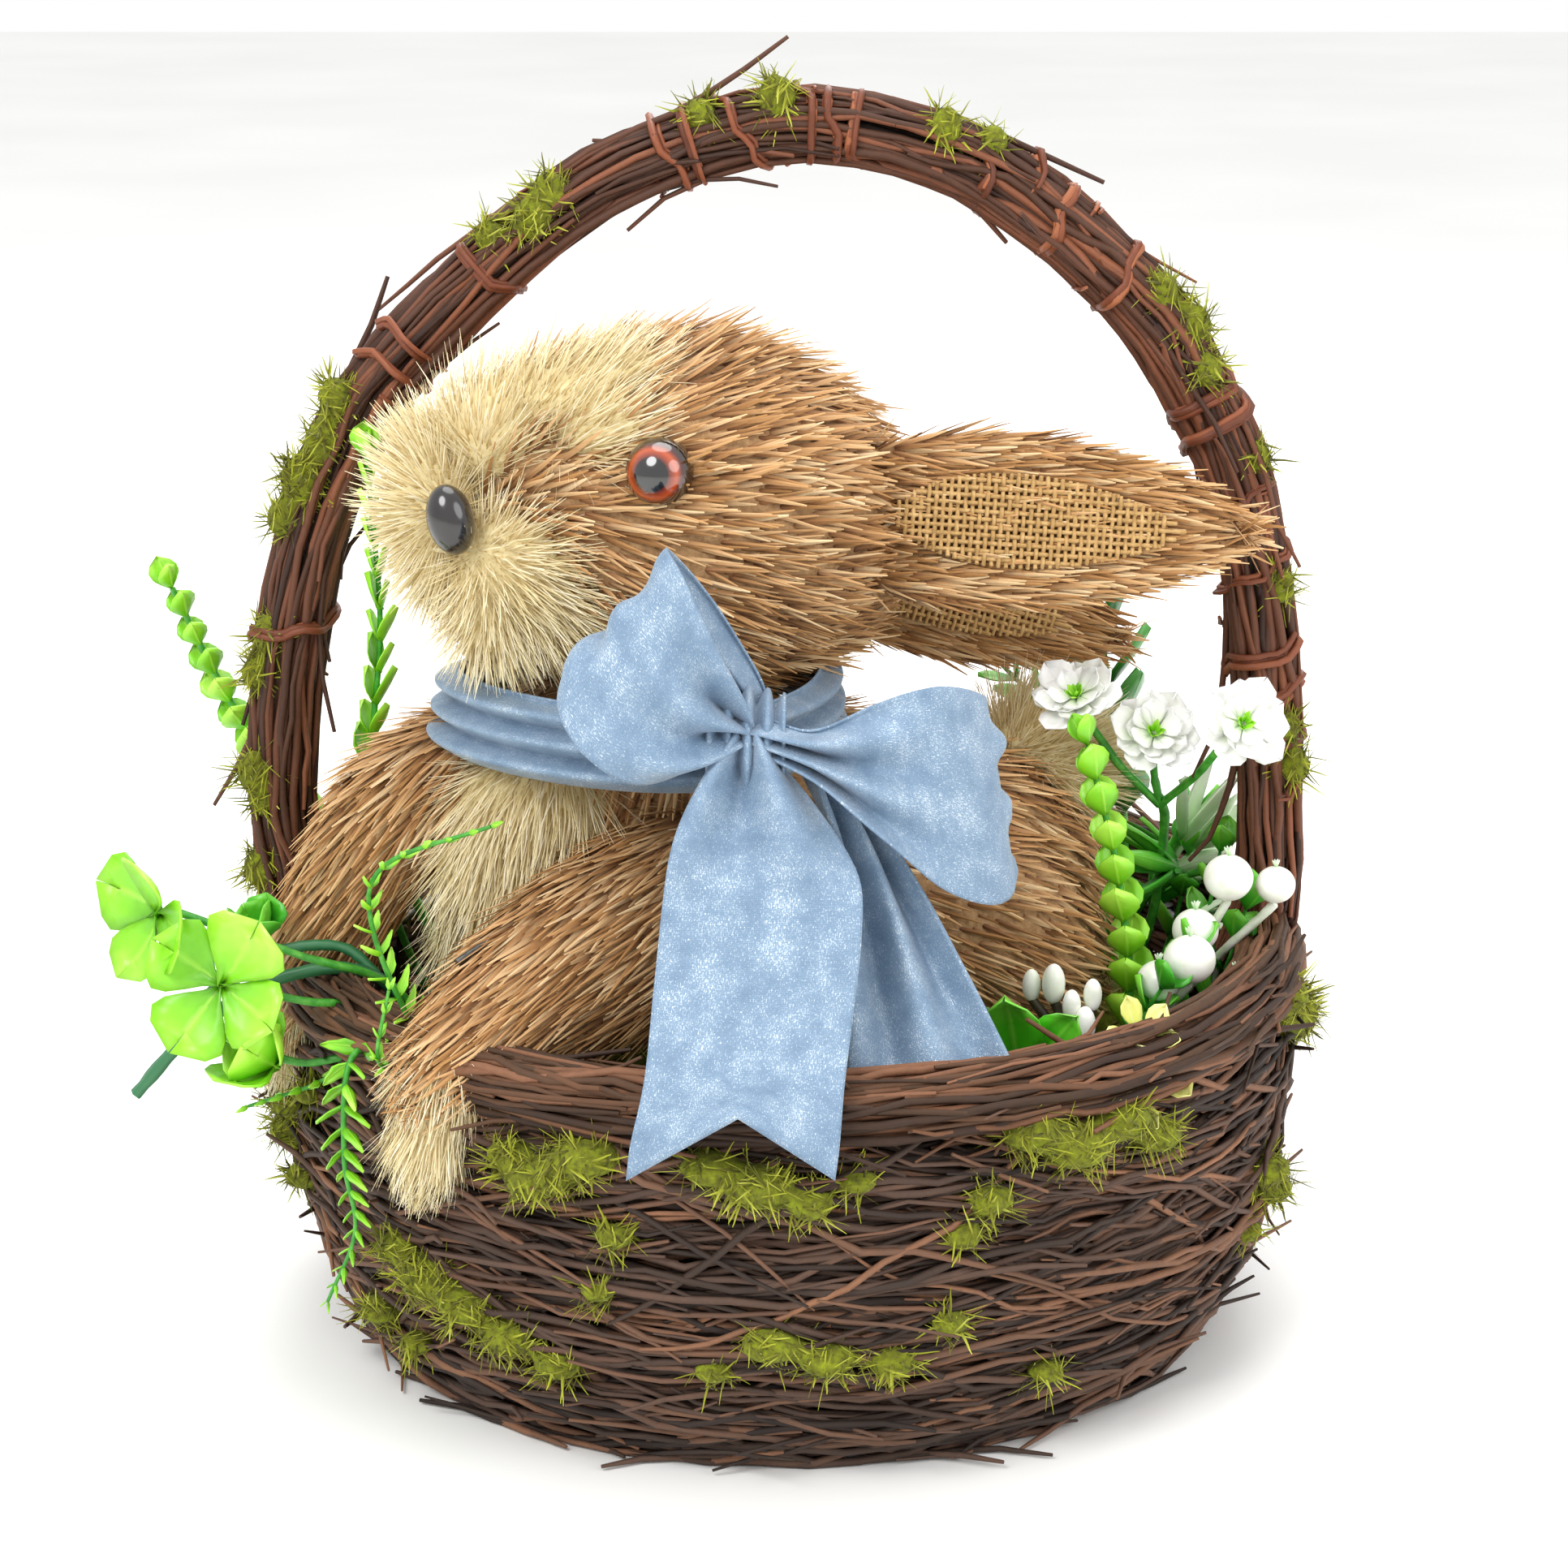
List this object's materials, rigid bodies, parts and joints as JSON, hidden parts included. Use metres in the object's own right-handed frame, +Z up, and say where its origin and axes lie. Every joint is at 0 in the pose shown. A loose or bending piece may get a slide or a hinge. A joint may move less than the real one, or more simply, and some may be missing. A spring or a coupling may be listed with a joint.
{
  "type": "easter basket",
  "caption": "Round twig basket with a tall arched handle, holding a straw rabbit with a ribbon bow, moss, leafy sprigs, white flowers and berries.",
  "frame": {"origin": "centre of the basket's foot, on the floor", "axes": "+X to the right seen from the front, +Y away from the front, +Z up"},
  "size_m": [0.2876, 0.2599, 0.3037],
  "materials": {
    "twigs": "stripped brown twigs, matte",
    "vine": "smooth brown vine",
    "wire": "drawn steel wire",
    "moss": "dyed dry moss, yellow green",
    "flower_foam": "green crumbly foam",
    "white_foam": "white bead foam",
    "straw": "short flat straws, combed back",
    "burlap": "open plain weave",
    "sisal": "pale combed fibres",
    "eye_glass": "amber dome with a dark pupil",
    "nose_gloss": "black, glossy",
    "dowel_wood": "plain dowel",
    "ribbon": "pale blue with a silver shimmer",
    "white_petal": "white petals on green stems",
    "white_berry": "pearly white",
    "green_leaf": "moulded leaves, satin"
  },
  "bodies": {
    "root": {"arm_far": "straw", "arm_near": "straw", "arm_wire_far": "wire", "arm_wire_near": "wire", "base_pad": "twigs", "basket_wall": "twigs", "berry_pick_low": "white_berry", "berry_pick_tall": "white_berry", "body_coat": "straw", "body_core": "white_foam", "bow_knot": "ribbon", "bow_loop_left": "ribbon", "bow_loop_right": "ribbon", "boxwood_light_sprig": "green_leaf", "boxwood_tall": "green_leaf", "broad_leaf_pick": "green_leaf", "bud_pick": "green_leaf", "chest_patch": "sisal", "clover_pick": "green_leaf", "daisy_spray": "white_petal", "ear_far_coat": "straw", "ear_far_lining": "burlap", "ear_near_coat": "straw", "ear_near_lining": "burlap", "ear_wire_far": "wire", "ear_wire_near": "wire", "eye_far": "eye_glass", "eye_near": "eye_glass", "fern_pick": "green_leaf", "foam_block": "flower_foam", "grass_blades": "green_leaf", "handle_bundle": "twigs", "handle_moss_left": "moss", "handle_moss_right": "moss", "handle_tie_left": "vine", "handle_tie_right": "vine", "handle_tie_top": "vine", "handle_wire": "wire", "head_coat": "straw", "head_core": "white_foam", "moss_bed": "moss", "muzzle_bridge": "sisal", "muzzle_far": "sisal", "muzzle_near": "sisal", "neck_band": "ribbon", "nose_button": "nose_gloss", "paw_far": "sisal", "paw_near": "sisal", "ribbon_tail_front": "ribbon", "ribbon_tail_rear": "ribbon", "rim_coil": "twigs", "round_leaf_sprig_left": "green_leaf", "round_leaf_sprig_tall": "green_leaf", "spiky_pick": "green_leaf", "spine_dowel": "dowel_wood", "star_flower_pick": "green_leaf", "tail_puff": "sisal", "wall_moss_left": "moss", "wall_moss_right": "moss", "wire_frame": "wire"}
  },
  "joints": []
}
